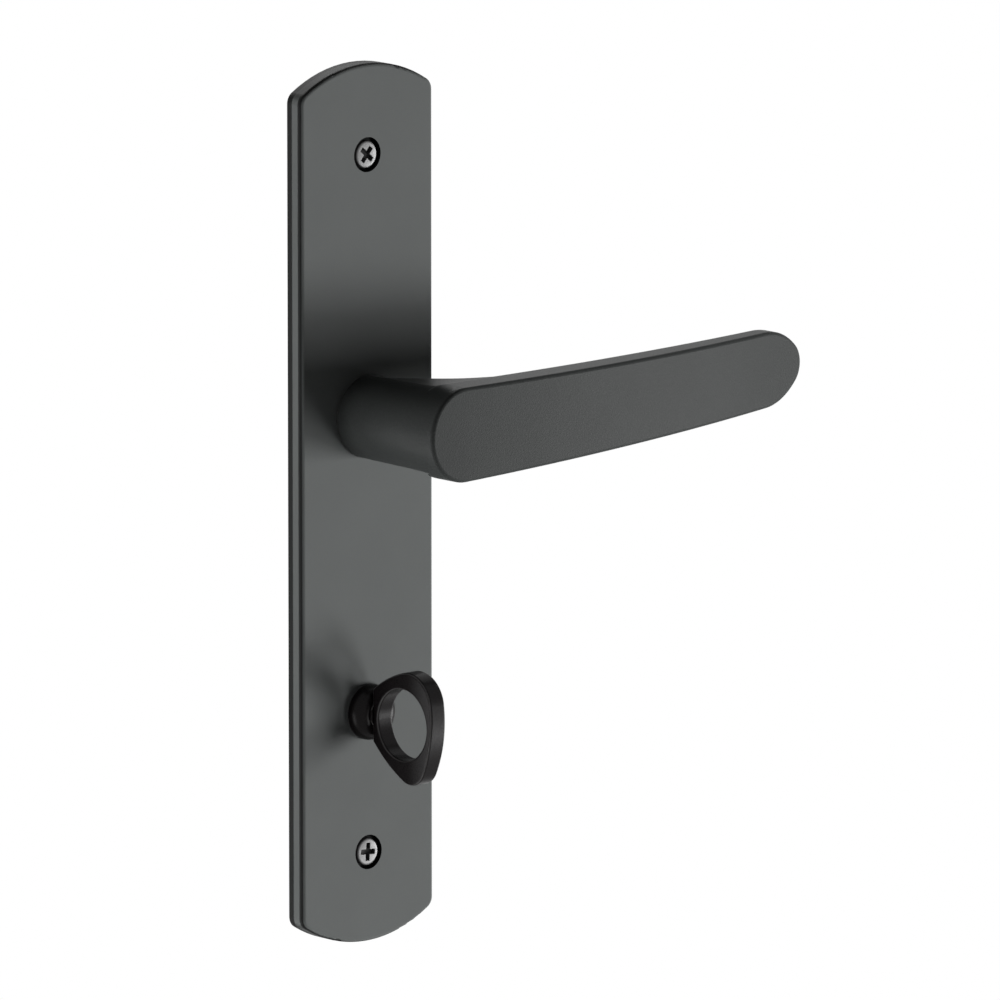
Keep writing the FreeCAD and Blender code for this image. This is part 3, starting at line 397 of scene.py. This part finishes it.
# the solids that stay as they are, by finish
FINISHED_NODES = {
    "plate": ("backplate",),
    "lever": ("lever",),
    "turn": ("thumbturn",),
    "nylon": ("lever_bush", "turn_bush"),
    "zinc": (
        "spring_housing",
        "upper_housing_screw",
        "lower_housing_screw",
        "lever_spindle",
        "spring_driver",
        "lever_thrust_washer",
        "turn_spindle",
        "turn_flat_washer",
    ),
    "spring": ("lever_grub_screw", "lever_circlip", "turn_spring_washer", "turn_circlip"),
}


def dress(node, material):
    for slot in frame["nodes"][node].material_slots:
        slot.material = material


# mesh helpers

def new_piece(name, mesh):
    data = bpy.data.meshes.new(name)
    mesh.to_mesh(data)
    mesh.free()
    piece = bpy.data.objects.new(name, data)
    bpy.context.scene.collection.objects.link(piece)
    return piece


def skin(mesh, sections):
    """Joins closed sections, each with as many corners as the next, by four-sided faces."""
    for first, second in zip(sections, sections[1:]):
        for i in range(len(first)):
            j = (i + 1) % len(first)
            mesh.faces.new((first[i], first[j], second[j], second[i]))


def cut_away(name, body, cutter):
    """What is left of one mesh when another is cut from it."""
    whole = new_piece(name + "_whole", body)
    knife = new_piece(name + "_knife", cutter)
    cut = whole.modifiers.new("cut", "BOOLEAN")
    cut.object = knife
    cut.use_self = True
    rest = bmesh.new()
    rest.from_object(whole, bpy.context.evaluated_depsgraph_get())
    for piece in (whole, knife):
        bpy.data.objects.remove(piece)
    return rest


def soften(mesh, sharpest):
    """Shades a mesh smooth, apart from the edges where it turns by more than the angle."""
    for edge in mesh.edges:
        edge.smooth = len(edge.link_faces) == 2 and edge.calc_face_angle() < sharpest
    for face in mesh.faces:
        face.smooth = True


# the door screws

CROSS_TURNS = {"upper_door_screw": 40, "lower_door_screw": 4}
CROSS_SPAN = 4.3 * MM
CROSS_SLOT = 1.25 * MM
CROSS_DEPTH = 1.25 * MM
HEAD_RADIUS = 3.2 * MM
HEAD_EDGE = 0.5 * MM
EDGE_STEPS = 4
NECK_RADIUS = 1.45 * MM
NECK_END = 0.6 * MM
NECK_STEP = 0.3 * MM
CORE_RADIUS = 1.2 * MM
TAPER = 5 * MM
TAPER_START = SCREW_END - TAPER
TIP_RADIUS = 0.35 * MM
THREAD_RADIUS = MOUNTS["door_screws"]["dims"]["stud_r_mm"] * MM
THREAD_PITCH = 1.6 * MM
THREAD_FOOT = 0.45 * MM
THREAD_LEAD = 0.4 * THREAD_PITCH
THREAD_SUNK = 0.9
THREAD_AT_START = 0.1
SHARP_EDGE = math.radians(32)


def round_axis(radius, level, height, turn):
    """A point at a radius and an angle round a screw's axis."""
    return (radius * math.cos(turn), level, height + radius * math.sin(turn))


def screw_profile():
    """The screw's outline as (radius, y), from the middle of the head's top to the tip's end."""
    profile = [(0, HEAD_TOP)]
    for i in range(EDGE_STEPS + 1):
        turn = math.pi / 2 * i / EDGE_STEPS
        radius = HEAD_RADIUS - HEAD_EDGE + HEAD_EDGE * math.sin(turn)
        profile.append((radius, HEAD_TOP + HEAD_EDGE - HEAD_EDGE * math.cos(turn)))
    profile += [(HEAD_RADIUS, HEAD_UNDER), (NECK_RADIUS, HEAD_UNDER), (NECK_RADIUS, NECK_END)]
    profile += [(CORE_RADIUS, NECK_END + NECK_STEP), (CORE_RADIUS, TAPER_START)]
    profile += [(TIP_RADIUS, SCREW_END), (0, SCREW_END)]
    return profile


def spun(profile, height, sides=48):
    """A profile that starts and ends on the screw's axis, as a round body about it."""
    mesh = bmesh.new()
    rings = []
    for radius, level in profile[1:-1]:
        turns = [2 * math.pi * i / sides for i in range(sides)]
        rings.append([mesh.verts.new(round_axis(radius, level, height, turn)) for turn in turns])
    skin(mesh, rings)
    for ring, (_, level) in ((rings[0], profile[0]), (rings[-1], profile[-1])):
        middle = mesh.verts.new((0, level, height))
        for i in range(sides):
            mesh.faces.new((ring[i], ring[(i + 1) % sides], middle))
    bmesh.ops.recalc_face_normals(mesh, faces=mesh.faces)
    return mesh


def crossed_bars(height, degrees):
    """The two bars that cut the cross into the head."""
    mesh = bmesh.new()
    for quarter in (0, 90):
        bar = bmesh.ops.create_cube(mesh, size=1)["verts"]
        turn = Matrix.Rotation(math.radians(degrees + quarter), 4, "Y")
        place = Matrix.Translation((0, HEAD_TOP, height))
        size = Matrix.Diagonal((CROSS_SPAN, 2 * CROSS_DEPTH, CROSS_SLOT, 1))
        bmesh.ops.transform(mesh, matrix=place @ turn @ size, verts=bar)
    return mesh


def add_thread(mesh, height, steps_per_turn=24):
    """The thread, a three-sided ridge that rises over its first turn and follows the taper."""
    turns = (SCREW_END - NECK_END) / THREAD_PITCH - 1
    sections = []
    for i in range(int(turns * steps_per_turn) + 1):
        turn = 2 * math.pi * i / steps_per_turn
        level = NECK_END + THREAD_LEAD + THREAD_PITCH * i / steps_per_turn
        taper = max(0, (level - TAPER_START) / TAPER)
        root = (CORE_RADIUS + (TIP_RADIUS - CORE_RADIUS) * taper) * THREAD_SUNK
        crest = THREAD_RADIUS + (TIP_RADIUS - THREAD_RADIUS) * taper
        crest = root + (crest - root) * min(1, THREAD_AT_START + i / steps_per_turn)
        corners = ((root, level - THREAD_FOOT), (crest, level), (root, level + THREAD_FOOT))
        sections.append([mesh.verts.new(round_axis(r, y, height, turn)) for r, y in corners])
    skin(mesh, sections)
    mesh.faces.new(sections[0])
    mesh.faces.new(sections[-1])
    bmesh.ops.recalc_face_normals(mesh, faces=mesh.faces)


def add_door_screw(node, height, degrees, material):
    """A cheese-head wood screw, with its cross turned as the photograph shows it."""
    mesh = cut_away(node, spun(screw_profile(), height), crossed_bars(height, degrees))
    add_thread(mesh, height)
    soften(mesh, SHARP_EDGE)
    screw = new_piece(node + "_threaded", mesh)
    screw.data.materials.append(material)
    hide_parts(node)
    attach(screw, "plate")


# the return spring

WIRE = 1.4 * MM
COIL_RADIUS = 9.6 * MM
COIL_TURNS = 2.25
STEPS_PER_TURN = 72
LEG_REACH = 12.8 * MM
LEG_SHARES = (0.35, 0.6, 1.0)
FRONT_LEG = math.radians(81.05)
REAR_LEG = FRONT_LEG + 2 * math.pi * COIL_TURNS
FRONT_LEVEL = SPRING_FRONT + WIRE / 2
REAR_LEVEL = SPRING_REAR - WIRE / 2


def swept(path, radius, sides=16):
    """A round bar along a path of points, closed at both ends."""
    mesh = bmesh.new()
    rings = []
    normal = None
    for i, point in enumerate(path):
        before, after = path[max(i - 1, 0)], path[min(i + 1, len(path) - 1)]
        along = (after - before).normalized()
        if normal is None:
            normal = along.orthogonal().normalized()
        normal = (normal - along * normal.dot(along)).normalized()
        across = along.cross(normal)
        ring = []
        for j in range(sides):
            turn = 2 * math.pi * j / sides
            outward = normal * math.cos(turn) + across * math.sin(turn)
            ring.append(mesh.verts.new(point + radius * outward))
        rings.append(ring)
    skin(mesh, rings)
    mesh.faces.new(list(reversed(rings[0])))
    mesh.faces.new(rings[-1])
    bmesh.ops.recalc_face_normals(mesh, faces=mesh.faces)
    for face in mesh.faces:
        face.smooth = len(face.verts) == 4
    return mesh


def spring_path():
    """The wire's middle line: a coil about the lever's axis with a leg bent outwards at each end."""
    steps = int(COIL_TURNS * STEPS_PER_TURN)
    coil = []
    for i in range(steps + 1):
        share = i / steps
        angle = FRONT_LEG + (REAR_LEG - FRONT_LEG) * share
        level = FRONT_LEVEL + (REAR_LEVEL - FRONT_LEVEL) * share
        place = Vector((COIL_RADIUS * math.cos(angle), level, COIL_RADIUS * math.sin(angle)))
        coil.append(LEVER_AXIS + place)
    legs = []
    for angle, corner in ((FRONT_LEG, coil[0]), (REAR_LEG, coil[-1])):
        outward = Vector((math.cos(angle), 0, math.sin(angle)))
        legs.append([corner + outward * (LEG_REACH - COIL_RADIUS) * share for share in LEG_SHARES])
    return list(reversed(legs[0])) + coil + legs[1]


def add_return_spring(material):
    """The torsion spring's wire, built where it rests; in the lock its rear end stays with the plate while the
    front turns with the lever.
    """
    spring = new_piece("return_spring_wire", swept(spring_path(), WIRE / 2))
    spring.data.materials.append(material)
    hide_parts("return_spring")
    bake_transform(spring)


# the studio: each lamp's name, azimuth and elevation in degrees, width in metres and power in watts

LAMPS = (
    ("low", 32, -26, 0.6, 14),
    ("right", 60, -12, 0.8, 36),
    ("left", -102, -24, 1.4, 26),
    ("behind", 160, 35, 1.2, 24),
    ("behind_low", -150, -20, 1.2, 18),
)
LAMP_DISTANCE = 2.0
WORLD_LIGHT = 0.03
FLOOR_HALF = 30.0
FLOOR_LEVEL = -1.9


def direction(azimuth, elevation):
    """From the object at an angle to the right of the plate's front and one above the horizon."""
    return Vector(
        (
            math.sin(azimuth) * math.cos(elevation),
            -math.cos(azimuth) * math.cos(elevation),
            math.sin(elevation),
        )
    )


def aim(thing, place, target):
    """Stands a camera or lamp at a place, looking at a target."""
    thing.location = place
    thing.rotation_euler = (Vector(target) - Vector(place)).to_track_quat("-Z", "Y").to_euler()


def add_camera():
    back = direction(CAMERA_AZIMUTH, CAMERA_ELEVATION)
    right = Vector((math.cos(CAMERA_AZIMUTH), math.sin(CAMERA_AZIMUTH), 0))
    up = back.cross(right)
    data = bpy.data.cameras.new("camera")
    data.lens = CAMERA_LENS
    data.sensor_width = SENSOR
    data.clip_end = 100
    camera = bpy.data.objects.new("camera", data)
    bpy.context.scene.collection.objects.link(camera)
    target = right * TARGET_RIGHT + up * TARGET_UP
    aim(camera, target + back * CAMERA_DISTANCE, target)
    bpy.context.scene.camera = camera


def add_lamp(name, azimuth, elevation, width, power):
    """A square soft box that is aimed at the object."""
    data = bpy.data.lights.new(name, "AREA")
    data.shape = "SQUARE"
    data.size = width
    data.energy = power
    lamp = bpy.data.objects.new(name, data)
    bpy.context.scene.collection.objects.link(lamp)
    place = LAMP_DISTANCE * direction(math.radians(azimuth), math.radians(elevation))
    aim(lamp, place, (0, 0, 0))


def white_to_eye(tree, elsewhere):
    """Strength 1 for what the camera, gloss and glass see, and another for the light that falls."""
    path = tree.nodes.new("ShaderNodeLightPath")
    either = reckon(tree, "MAXIMUM", path.outputs["Is Camera Ray"], path.outputs["Is Glossy Ray"])
    every = reckon(tree, "MAXIMUM", either, path.outputs["Is Transmission Ray"])
    return between(tree, every, elsewhere, 1.0)


def add_world():
    """Surroundings that are seen as white but shed little light."""
    world = bpy.data.worlds.new("studio")
    bpy.context.scene.world = world
    world.use_nodes = True
    tree = world.node_tree
    background = tree.nodes["Background"]
    background.inputs["Color"].default_value = (1, 1, 1, 1)
    tree.links.new(white_to_eye(tree, WORLD_LIGHT), background.inputs["Strength"])


def add_floor():
    """A plain pale floor far below the part, which the eye sees as white."""
    mesh = bpy.data.meshes.new("floor")
    sides = ((-1, -1), (1, -1), (1, 1), (-1, 1))
    corners = [(x * FLOOR_HALF, y * FLOOR_HALF, FLOOR_LEVEL) for x, y in sides]
    mesh.from_pydata(corners, [], [(0, 1, 2, 3)])
    floor = bpy.data.objects.new("floor", mesh)
    bpy.context.scene.collection.objects.link(floor)
    material, tree, shader = new_material("white_floor")
    shader.inputs["Base Color"].default_value = (0.8, 0.8, 0.8, 1)
    shader.inputs["Roughness"].default_value = 0.9
    glow = tree.nodes.new("ShaderNodeEmission")
    mix = tree.nodes.new("ShaderNodeMixShader")
    tree.links.new(white_to_eye(tree, 0.0), mix.inputs[0])
    tree.links.new(shader.outputs[0], mix.inputs[1])
    tree.links.new(glow.outputs[0], mix.inputs[2])
    tree.links.new(mix.outputs[0], tree.nodes["Material Output"].inputs["Surface"])
    mesh.materials.append(material)


bpy.context.scene.view_settings.view_transform = "Standard"
add_camera()
add_world()
for lamp in LAMPS:
    add_lamp(*lamp)
add_floor()

finishes = make_finishes()
for finish, nodes in FINISHED_NODES.items():
    for node in nodes:
        dress(node, finishes[finish])
for node, height in SCREW_HEIGHTS.items():
    add_door_screw(node, height, CROSS_TURNS[node], finishes["screw"])
add_return_spring(finishes["spring"])
